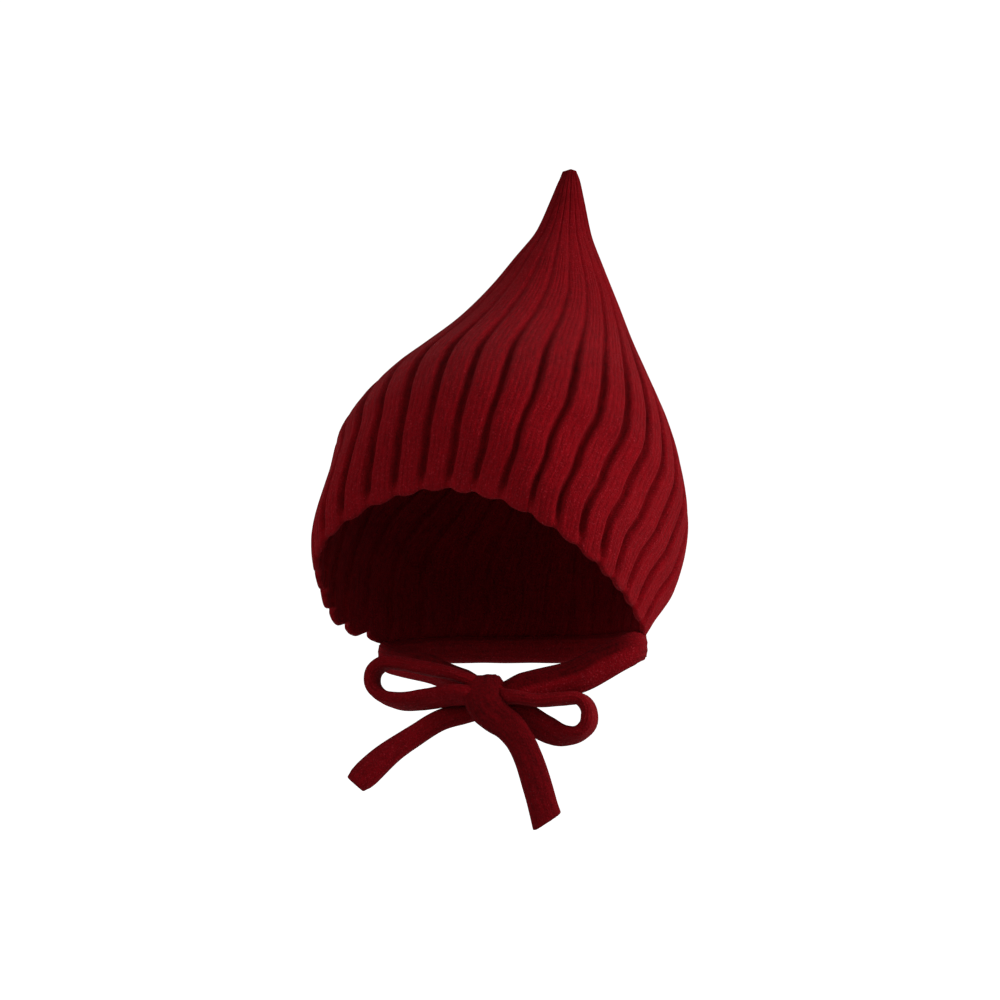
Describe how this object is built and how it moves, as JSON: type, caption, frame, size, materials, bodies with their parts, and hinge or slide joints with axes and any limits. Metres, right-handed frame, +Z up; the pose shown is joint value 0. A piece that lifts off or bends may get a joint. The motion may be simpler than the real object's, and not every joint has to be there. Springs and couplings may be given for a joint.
{
  "type": "knitted pixie bonnet",
  "caption": "Baby's pointed bonnet in thick rib knit, open at the face and neck, with a knitted neck band whose ends are straps tied in a bow under the chin.",
  "frame": {"origin": "inside the crown, where the top of the head sits under the knit, in the middle plane of the hat", "axes": "+Z up through the crown, -Y towards the face, +X towards the wearer's left"},
  "size_m": [0.1458, 0.1465, 0.284],
  "materials": {
    "rib_knit": "deep crimson rib knit in soft, slightly fuzzy yarn",
    "tie_knit": "deep crimson tubular knit, matte"
  },
  "bodies": {
    "root": {"bonnet": "rib_knit", "neck_band": "tie_knit", "strap_right": "tie_knit", "strap_left": "tie_knit", "bow_knot": "tie_knit", "bow_loop_right": "tie_knit", "bow_loop_left": "tie_knit", "tail_right": "tie_knit", "tail_left": "tie_knit"}
  },
  "joints": []
}
